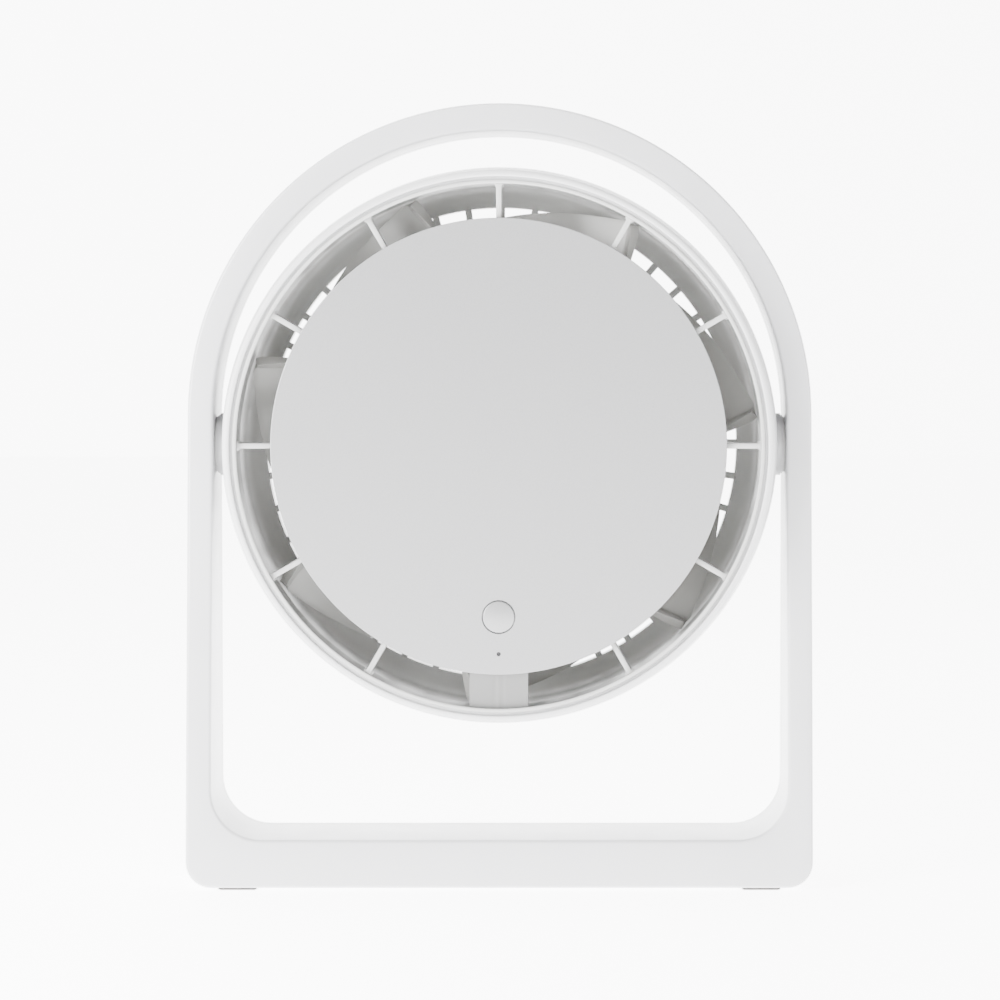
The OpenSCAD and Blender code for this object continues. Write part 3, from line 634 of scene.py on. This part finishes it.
class FAN_OT_front(bpy.types.Operator):
    """Build the ring, the ribs, the bridge and the dish behind the disc"""
    bl_idname = "fan.front"
    bl_label = "Front grille"

    def execute(self, context):
        head = context.scene.fan_head
        colours = context.scene.fan_colours
        # the grille's white plastic, darkened as painted shade inside the drum
        white = moulded_plastic("grille_white", colours.grille, 0.40, 0.10, 0.1, 0.1, 0.015)
        # a much darker grey: painted shade for the ring's inner wall and the bridge
        grey = moulded_plastic("grille_grey_painted_shade", colours.bridge, 0.45, 0.10, 0.0, 0.1, 0.02)
        bm = self.ring(head)
        # faces of the ring's inner wall behind its lip get the darker grey: painted shade deep in the ring
        shaded_wall_r = head.ring_r + 0.05 * MM
        shaded_behind_lip = RING_FRONT + 1 * MM
        for face in bm.faces:
            middle = face.calc_center_median()
            face.material_index = int(math.hypot(middle.x, middle.z) < shaded_wall_r
                                      and middle.y > shaded_behind_lip)
        join(bm, self.dish(head))
        for place in range(1, head.rib_places):
            join(bm, self.rib(head, 180 + place * 360 / head.rib_places))
        bridge = self.bridge(head)
        # the whole bridge gets the darker grey: painted shade under the disc
        for face in bridge.faces:
            face.material_index = 1
        join(bm, bridge)
        raise_to_axis(bm)
        finish_piece("front_ring_and_ribs", bm, white, "head",
                     ["front_grille"], second=grey)
        return {"FINISHED"}

    def ring(self, head):
        """The ring with its rounded lip."""
        lip = 0.45 * MM
        return revolve(rounded([(head.ring_r, RING_FRONT, lip), (RING_OUT_R, RING_FRONT, lip),
                                (RING_OUT_R, RING_BACK, 0), (head.ring_r, RING_BACK, 0)]),
                       ROUND_STEPS)

    def dish(self, head):
        """The wall and floor behind the disc."""
        wall = 1.6 * MM
        out_r = DISC_R - head.overhang
        in_r = out_r - wall
        floor = RING_BACK - wall
        return revolve([(0, RING_BACK), (out_r, RING_BACK), (out_r, DISC_BACK),
                        (in_r, DISC_BACK), (in_r, floor), (0, floor)], ROUND_STEPS,
                       closed=False)

    def crossing(self, head):
        """Where a rib or the bridge starts and ends, and its front face."""
        return (DISC_R - head.overhang - 0.5 * MM, head.ring_r + 0.3 * MM,
                DISC_BACK + 0.6 * MM)

    def rib(self, head, degrees):
        """A rib across the air gap, with rounded edges, that widens into the ring."""
        inner, outer, front = self.crossing(head)
        half = head.rib_t / 2
        root, bend = 1.1 * MM, 1.2 * MM
        corners = [(-half, inner, 0), (-half, outer - root, bend),
                   (-half - root, outer, 0), (half + root, outer, 0),
                   (half, outer - root, bend), (half, inner, 0)]
        bm = bmesh.new()
        face = bm.faces.new([bm.verts.new((p.x, front, p.y)) for p in rounded(corners, 3)])
        extrude(bm, [face], (0, RING_BACK - front, 0))
        rim = [e for e in bm.edges if all(abs(v.co.y - front) < 1e-7 for v in e.verts)]
        soften(bm, rim, 0.35 * MM, 2)
        turn = Matrix.Rotation(math.radians(degrees), 4, "Y")
        bmesh.ops.transform(bm, matrix=turn, verts=bm.verts)
        return bm

    def bridge(self, head):
        """The wide bridge at the bottom, with faint shallow flutes down its face."""
        inner, outer, front = self.crossing(head)
        half = head.bridge_w / 2
        fluted = 3.4 * MM
        pitch, depth = fluted * 0.75, 0.09 * MM
        steps = 30
        line = [Vector((half, RING_BACK)), Vector((-half, RING_BACK)), Vector((-half, front))]
        for k in range(1, steps):
            x = -half + head.bridge_w * k / steps
            wave = math.cos(math.tau * x / pitch) if abs(x) < fluted else 1
            line.append(Vector((x, front + depth * (1 - wave))))
        line.append(Vector((half, front)))
        bm = bmesh.new()
        face = bm.faces.new([bm.verts.new((p.x, p.y, -outer)) for p in line])
        extrude(bm, [face], (0, 0, outer - inner))
        return bm


# ---- disc and button ----

BUTTON_R = 5.5 * MM
BUTTON_GAP = 0.35 * MM
LED_R = 0.75 * MM


class FAN_OT_disc(bpy.types.Operator):
    """Build the front disc with its two holes, and the button"""
    bl_idname = "fan.disc"
    bl_label = "Disc and button"

    def execute(self, context):
        colours = context.scene.fan_colours
        pearl = self.pearl("disc_pearl", colours.disc)
        bm = bmesh.new()
        edges = []
        for radius, z, steps in ((DISC_R, 0, 256), (BUTTON_R + BUTTON_GAP, BUTTON_Z, 96),
                                 (LED_R, LED_Z, 32)):
            made = bmesh.ops.create_circle(bm, segments=steps, radius=radius)["verts"]
            turn = Matrix.Translation((0, DRUM_FRONT, z)) @ Matrix.Rotation(math.pi / 2, 4, "X")
            bmesh.ops.transform(bm, matrix=turn, verts=made)
            edges += list({e for v in made for e in v.link_edges})
        bmesh.ops.triangle_fill(bm, edges=edges, use_beauty=True)
        extrude(bm, list(bm.faces), (0, DISC_BACK - DRUM_FRONT, 0))
        bmesh.ops.recalc_face_normals(bm, faces=bm.faces)
        # the small hole of the indicator keeps its sharp edge
        rim = [e for e in bm.edges if e.calc_face_angle(0) > math.radians(RIM_ANGLE)
               and all(abs(v.co.y - DRUM_FRONT) < 1e-6
                       and math.hypot(v.co.x, v.co.z - LED_Z) > 2 * LED_R for v in e.verts)]
        soften(bm, rim, 0.22 * MM, 3)
        raise_to_axis(bm)
        finish_piece("disc_face", bm, pearl, "head", ["front_disc"], sharp=12)
        self.button()
        return {"FINISHED"}

    def button(self):
        """Makes the button's cap, with a rounded edge, a flange and a stem."""
        pearl = self.pearl("button_pearl", bpy.context.scene.fan_colours.disc)
        front, rear = span("power_button", 1)
        flange_r = (span("power_button", 0)[1] - span("power_button", 0)[0]) / 2
        flange = DISC_BACK + 0.1 * MM
        flange_rear = flange + 0.8 * MM
        stem_r = 1.5 * MM
        outline = rounded([(0, front, 0), (BUTTON_R, front, 0.35 * MM), (BUTTON_R, flange, 0),
                           (flange_r, flange, 0), (flange_r, flange_rear, 0),
                           (stem_r, flange_rear, 0), (stem_r, rear, 0.2 * MM),
                           (0, rear, 0)], 4)
        bm = revolve(outline, 96, closed=False)
        bmesh.ops.translate(bm, vec=(0, 0, BUTTON_Z), verts=bm.verts)
        raise_to_axis(bm)
        finish_piece("button_cap", bm, pearl, "button", ["power_button"])

    def pearl(self, name, rgb):
        """Smooth pearl-grey plastic under a satin coat."""
        material, tree, shader = new_material(name)
        cloud = object_noise(tree, 14, 3)
        fleck = object_noise(tree, 5200, 2)
        tree.links.new(tint(tree, cloud, shade(rgb, 0.99), shade(rgb, 1.01)),
                       shader.inputs["Base Color"])
        tree.links.new(spread(tree, fleck, 0.26, 0.32), shader.inputs["Roughness"])
        bump(tree, shader, [(fleck, 0.04, 0.00003)])
        shader.inputs["IOR"].default_value = 1.6
        shader.inputs["Metallic"].default_value = 0.35
        shader.inputs["Coat Weight"].default_value = 0.5
        shader.inputs["Coat Roughness"].default_value = 0.28
        return material


# ---- impeller ----

# degrees round the axis at a blade's root and tip, and how its tip and section curve
ROOT_LEAD, TIP_LEAD = -27, -30
ROOT_TRAIL, TIP_TRAIL = 16, 1
TIP_CURVE = 0.66
CAMBER = 0.1
ROW_CURVE = 1.8


def lead_angle(t):
    """Angle of a blade's leading edge at a share t of the way out, from its tip corner."""
    return ROOT_LEAD + (TIP_LEAD - ROOT_LEAD) * t


def trail_angle(t):
    """Angle of a blade's trailing edge at a share t of the way out."""
    return ROOT_TRAIL + (TIP_TRAIL - ROOT_TRAIL) * t


def tip_at(s, tip_r, sizes):
    """Radius of a blade's tip edge at a share s from its leading to its trailing edge."""
    corner = sizes.tip_corner
    chord = tip_r * math.radians(trail_angle(1) - lead_angle(1))
    near = max(0, corner - (1 - s) * chord)
    return (tip_r - sizes.tip_fall * (1 - s) ** TIP_CURVE
            - corner + math.sqrt(corner * corner - near * near))


class FAN_OT_impeller(bpy.types.Operator):
    """Build the impeller's hub and blades"""
    bl_idname = "fan.impeller"
    bl_label = "Impeller"

    def execute(self, context):
        sizes = context.scene.fan_impeller
        head = context.scene.fan_head
        colours = context.scene.fan_colours
        # the blades' warm plastic, darkened as painted shade inside the drum
        warm = moulded_plastic("blade_white", colours.blade, 0.38, 0.12, 0.05, 0.05, 0.02)
        bm = self.hub(sizes)
        for k in range(sizes.blades):
            one = self.blade(sizes, head.duct_r - sizes.tip_gap)
            turn = Matrix.Rotation(math.tau * k / sizes.blades, 4, "Y")
            bmesh.ops.transform(one, matrix=turn, verts=one.verts)
            join(bm, one)
        raise_to_axis(bm)
        finish_piece("impeller_moulding", bm, warm, "impeller", ["impeller"])
        return {"FINISHED"}

    def hub(self, sizes):
        """The hub: an open cup with a rounded rear edge."""
        r, t = sizes.hub_r, sizes.hub_t
        front, rear = BLADE_FRONT, BLADE_REAR
        shaft, boss_r, boss_front = 2.5 * MM, 5.5 * MM, 4 * MM
        return revolve(rounded([(shaft, rear, 0), (r, rear, 2.5 * MM), (r, front, 0.5 * MM),
                                (r - t, front, 0.5 * MM), (r - t, rear - t, 1 * MM),
                                (boss_r, rear - t, 0.8 * MM), (boss_r, boss_front, 0),
                                (shaft, boss_front, 0)]), 96)

    def blade(self, sizes, tip_r):
        """One blade, as a curved sheet given its thickness, with a rounded tip corner."""
        rows, cols = 28, 26
        bm = bmesh.new()
        bmesh.ops.create_grid(bm, x_segments=cols, y_segments=rows, size=0.5)
        root = sizes.hub_r - 0.6 * MM
        margin = 1 * MM
        low = BLADE_REAR - margin
        high = BLADE_FRONT + margin
        for v in bm.verts:
            s, t = 1 - (0.5 - v.co.x) ** ROW_CURVE, v.co.y + 0.5
            lead, trail = lead_angle(t), trail_angle(t)
            angle = math.degrees(sizes.rest_angle) + lead + s * (trail - lead)
            place = polar(root + t * (tip_at(s, tip_r, sizes) - root), angle)
            rise = s + CAMBER * math.sin(math.pi * s)
            v.co = (place.x, low + (high - low) * rise, place.z)
        bmesh.ops.recalc_face_normals(bm, faces=bm.faces)
        half = sizes.blade_t / 2
        for v in bm.verts:
            v.co -= v.normal * half
        bmesh.ops.solidify(bm, geom=bm.faces, thickness=sizes.blade_t)
        bmesh.ops.recalc_face_normals(bm, faces=bm.faces)
        rims = [e for e in bm.edges if e.calc_face_angle(0) > math.radians(55)]
        soften(bm, rims, sizes.blade_t * 0.35, 3)
        return bm


# ---- rear ----

BAR_EDGE = 0.45 * MM
HOOP_DISTANCES = (16.5 * MM, 35 * MM)       # out from where the slots start


class FAN_OT_rear(bpy.types.Operator):
    """Build the air duct, and the slotted rear grille with its lip and ring"""
    bl_idname = "fan.rear"
    bl_label = "Duct and rear grille"

    def execute(self, context):
        head = context.scene.fan_head
        colours = context.scene.fan_colours
        # the duct's and rear grille's white plastic, darkened as painted shade inside the drum
        white = moulded_plastic("duct_white_painted_shade", colours.duct, 0.42, 0.10, 0.08, 0.1, 0.015)
        edge = 0.3 * MM
        outer = DRUM_REAR - head.grille_inset
        inner = outer - head.rear_wall
        duct_out = head.duct_r + head.duct_t
        foot_in = head.duct_r - head.foot_r
        foot_front = inner - 0.2 * MM
        duct = revolve(rounded([
            (foot_in, inner, 0), (duct_out, inner, 0), (duct_out, DUCT_FRONT, edge),
            (head.duct_r, DUCT_FRONT, edge), (head.duct_r, foot_front, head.foot_r),
            (foot_in, foot_front, 0)], 6), ROUND_STEPS)
        raise_to_axis(duct)
        finish_piece("duct_wall", duct, white, "head", ["air_duct"])

        lip_in = head.slot_out + 0.2 * MM
        lip_out = lip_in + head.lip_t
        ring_front = DRUM_REAR - head.rear_wall
        edge_r = barrel_radius(DRUM_REAR, head) - head.shell_t - 0.1 * MM
        bm = revolve(rounded([
            (head.slot_out, inner, edge), (duct_out, inner, 0), (duct_out, outer, 0),
            (lip_out, outer, 0), (lip_out, ring_front, 0), (edge_r, ring_front, 0),
            (edge_r, DRUM_REAR, edge), (lip_in, DRUM_REAR, 0.9 * MM), (lip_in, outer, 0.1 * MM),
            (head.slot_out, outer, 0.1 * MM)], 4), ROUND_STEPS)
        raise_to_axis(bm)
        rim = finish_piece("rear_grille_rim", bm, white, "head", ["rear_grille"])
        self.cut_socket(rim)

        bm = self.middle(head, inner, outer)
        sunk = 0.1 * MM
        for distance in HOOP_DISTANCES:
            join(bm, self.hoop(head.slot_in + distance, head.bar_w, inner + sunk, outer - sunk))
        half = head.bar_w / 2
        bar_start = head.slot_in - 1 * MM
        for k in range(head.rear_bars):
            turn = Matrix.Rotation(math.tau * k / head.rear_bars, 4, "Y")
            block(bm, (-half, inner, bar_start), (half, outer, lip_in), turn, BAR_EDGE)
        raise_to_axis(bm)
        finish_piece("rear_grille_bars", bm, white, "head", ["rear_grille"])
        return {"FINISHED"}

    def middle(self, head, inner, outer):
        """The flat middle of the grille, with a shallow dished step."""
        r = head.slot_in
        step = 0.6 * MM
        return revolve(rounded([(0, inner, 0), (r, inner, 0.4 * MM), (r, outer, 0.5 * MM),
                                (r - 4 * MM, outer, 0.3 * MM),
                                (r - 4.6 * MM, outer - step, 0.3 * MM), (0, outer - step, 0)],
                               4), 128, closed=False)

    def hoop(self, radius, width, inner, outer):
        """A ring that ties the bars together."""
        low, high = radius - width / 2, radius + width / 2
        return revolve(rounded([(low, inner, BAR_EDGE), (high, inner, BAR_EDGE),
                                (high, outer, BAR_EDGE), (low, outer, BAR_EDGE)], 2), 160)

    def cut_socket(self, piece):
        """Cuts the rounded opening for the charging socket."""
        low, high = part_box("usb_socket")
        grow = 0.2 * MM
        cutter = bmesh.new()
        block(cutter, (low.x - grow, DRUM_REAR - 3 * MM, low.z - grow),
              (high.x + grow, DRUM_REAR + 1 * MM, high.z + grow))
        sides = [e for e in cutter.edges
                 if abs(e.verts[0].co.y - e.verts[1].co.y) > 1 * MM]
        soften(cutter, sides, 1.7 * MM, 8)
        cut(piece, cutter)


# ---- finishes of the pieces kept from CAD ----

# material slot: colour and roughness, and for a metal the direction of its marks
PLASTICS = {
    "nylon": ((0.72, 0.70, 0.64), 0.42),
    # washer_fibre is light grey instead of black: painted light in the narrow gap between drum and leg
    "washer_fibre": ((0.50, 0.50, 0.49), 0.6),
    "switch_plastic": ((0.015, 0.015, 0.015), 0.4),
    "cell_wrap": ((0.06, 0.16, 0.36), 0.25),
    "wire_cover": ((0.30, 0.02, 0.015), 0.35),
}
METALS = {
    "ballast_steel": ((0.10, 0.10, 0.105), 0.55, (1, 30, 30)),
    "bright_steel": ((0.62, 0.62, 0.63), 0.28),
    "spring_steel": ((0.14, 0.14, 0.15), 0.35),
    "cast_alloy": ((0.58, 0.58, 0.59), 0.45),
    "lamination": ((0.22, 0.23, 0.25), 0.4, (1, 60, 1)),
    "copper_wire": ((0.62, 0.24, 0.10), 0.3, (1, 40, 1)),
    "can_steel": ((0.36, 0.36, 0.37), 0.32),
    "ferrite": ((0.03, 0.03, 0.032), 0.6),
}


class FAN_OT_finishes(bpy.types.Operator):
    """Give the pieces kept from CAD their materials"""
    bl_idname = "fan.finishes"
    bl_label = "Finishes"

    def execute(self, context):
        made = {name: moulded_plastic(name, *look) for name, look in PLASTICS.items()}
        made.update((name, metal(name, *look)) for name, look in METALS.items())
        made["circuit_board"] = circuit_board("circuit_board", (0.01, 0.09, 0.035))
        made["clear_lens"] = self.smoked_lens()
        for part in frame["record"]["subparts"]:
            material = made.get(part["material_slot"])
            if material:
                dress(part["node"], material)
        return {"FINISHED"}

    def smoked_lens(self):
        """Dark glossy lens, unlit."""
        material, tree, shader = new_material("smoked_lens")
        cloud = object_noise(tree, 400)
        tree.links.new(tint(tree, cloud, (0.006, 0.006, 0.007), (0.012, 0.012, 0.013)),
                       shader.inputs["Base Color"])
        tree.links.new(spread(tree, cloud, 0.2, 0.3), shader.inputs["Roughness"])
        return material


# ---- stage ----

# brightness of the floor, and of the surroundings by direction
FLOOR_GLOW = 7.0
BACKDROP = 9.3
OVERHEAD = 0.5
ROOM = 0.1
WINDOW = 0.9
FLOOR_HALF = 6
# name, place, width and watts of each soft box
SOFT_BOXES = (
    ("key", (-0.62, -0.6, 0.36), 0.5, 26),
    ("top", (-0.2, 0.1, 1.6), 1.6, 50),
)
CAMERA_PLACE = (0.022, -1.185, 0.183)
CAMERA_LENS = 118.3
CAMERA_SHIFT = (-0.0615, -0.127)


class FAN_OT_stage(bpy.types.Operator):
    """Set up the pale floor, the soft lights and the camera"""
    bl_idname = "fan.stage"
    bl_label = "Stage"

    def execute(self, context):
        self.floor(context)
        self.world(context)
        self.lights(context)
        self.camera(context)
        return {"FINISHED"}

    def floor(self, context):
        """A wide pale floor that glows softly, as a light table does."""
        bm = bmesh.new()
        bmesh.ops.create_grid(bm, x_segments=2, y_segments=2, size=FLOOR_HALF)
        mesh = bpy.data.meshes.new("floor")
        bm.to_mesh(mesh)
        bm.free()
        material, tree, shader = new_material("pale_floor")
        rgb = context.scene.fan_colours.floor
        cloud = object_noise(tree, 3, 4)
        tree.links.new(tint(tree, cloud, shade(rgb, 0.995), rgb), shader.inputs["Base Color"])
        shader.inputs["Roughness"].default_value = 0.6
        shader.inputs["Emission Color"].default_value = (1, 1, 1, 1)
        shader.inputs["Emission Strength"].default_value = FLOOR_GLOW
        mesh.materials.append(material)
        floor = bpy.data.objects.new("floor", mesh)
        context.scene.collection.objects.link(floor)

    def world(self, context):
        """A bright backdrop behind the fan, a glow from the left and a dim front."""
        world = bpy.data.worlds.new("studio")
        world.use_nodes = True
        context.scene.world = world
        tree = world.node_tree
        place = tree.nodes.new("ShaderNodeTexCoord")
        axes = tree.nodes.new("ShaderNodeSeparateXYZ")
        tree.links.new(place.outputs["Generated"], axes.inputs["Vector"])

        def ramp(axis, start, end, low, high):
            """A smooth step along one axis of the direction looked in."""
            node = tree.nodes.new("ShaderNodeMapRange")
            node.interpolation_type = "SMOOTHSTEP"
            for name, value in (("From Min", start), ("From Max", end),
                                ("To Min", low), ("To Max", high)):
                node.inputs[name].default_value = value
            tree.links.new(axes.outputs[axis], node.inputs["Value"])
            return node.outputs["Result"]

        def maths(operation, a, b):
            """One sum or product of two values."""
            node = tree.nodes.new("ShaderNodeMath")
            node.operation = operation
            tree.links.new(a, node.inputs[0])
            tree.links.new(b, node.inputs[1])
            return node.outputs["Value"]

        tree.nodes["Background"].inputs["Color"].default_value = (1, 1, 1, 1)
        behind = maths("MULTIPLY", ramp("Y", 0.1, 0.85, 0, 1),
                       ramp("Z", 0.3, 0.7, BACKDROP - OVERHEAD, 0))
        around = maths("ADD", ramp("Y", -0.7, 0.3, ROOM, OVERHEAD),
                       ramp("X", -0.4, 0.15, WINDOW, 0))
        tree.links.new(maths("ADD", behind, around), tree.nodes["Background"].inputs["Strength"])

    def lights(self, context):
        """Soft boxes: the key at the left, and a large one overhead."""
        for name, place, size, power in SOFT_BOXES:
            light = bpy.data.lights.new(name, "AREA")
            light.size = size
            light.energy = power
            lamp = bpy.data.objects.new(name, light)
            aim = AXIS - Vector(place)
            turn = aim.to_track_quat("-Z", "Y").to_matrix().to_4x4()
            lamp.matrix_world = Matrix.Translation(place) @ turn
            context.scene.collection.objects.link(lamp)

    def camera(self, context):
        """A level camera in front, with its axis above and to the right of the middle."""
        camera = bpy.data.cameras.new("camera")
        camera.sensor_width = 36
        camera.lens = CAMERA_LENS
        camera.shift_x, camera.shift_y = CAMERA_SHIFT
        eye = bpy.data.objects.new("camera", camera)
        eye.location = CAMERA_PLACE
        eye.rotation_euler = (math.pi / 2, 0, 0)
        context.scene.collection.objects.link(eye)
        context.scene.camera = eye


class FAN_PT_panel(bpy.types.Panel):
    """Lists the steps that build the fan"""
    bl_idname = "FAN_PT_panel"
    bl_label = "Desk fan"
    bl_space_type = "VIEW_3D"
    bl_region_type = "UI"
    bl_category = "Desk fan"

    def draw(self, context):
        for operator in OPERATORS:
            self.layout.operator(operator.bl_idname)


OPERATORS = (FAN_OT_stage, FAN_OT_stand, FAN_OT_drum, FAN_OT_front, FAN_OT_disc,
             FAN_OT_impeller, FAN_OT_rear, FAN_OT_finishes)
GROUPS = (("fan_stand", StandSizes), ("fan_head", HeadSizes),
          ("fan_impeller", ImpellerSizes), ("fan_colours", FanColours))


def register():
    for name, group in GROUPS:
        bpy.utils.register_class(group)
        setattr(bpy.types.Scene, name, PointerProperty(type=group))
    for operator in OPERATORS:
        bpy.utils.register_class(operator)
    bpy.utils.register_class(FAN_PT_panel)


def unregister():
    bpy.utils.unregister_class(FAN_PT_panel)
    for operator in reversed(OPERATORS):
        bpy.utils.unregister_class(operator)
    for name, group in reversed(GROUPS):
        delattr(bpy.types.Scene, name)
        bpy.utils.unregister_class(group)


def main():
    register()
    bpy.ops.fan.stage()
    bpy.ops.fan.stand()
    bpy.ops.fan.drum()
    bpy.ops.fan.front()
    bpy.ops.fan.disc()
    bpy.ops.fan.impeller()
    bpy.ops.fan.rear()
    bpy.ops.fan.finishes()


if __name__ == "__main__":
    main()
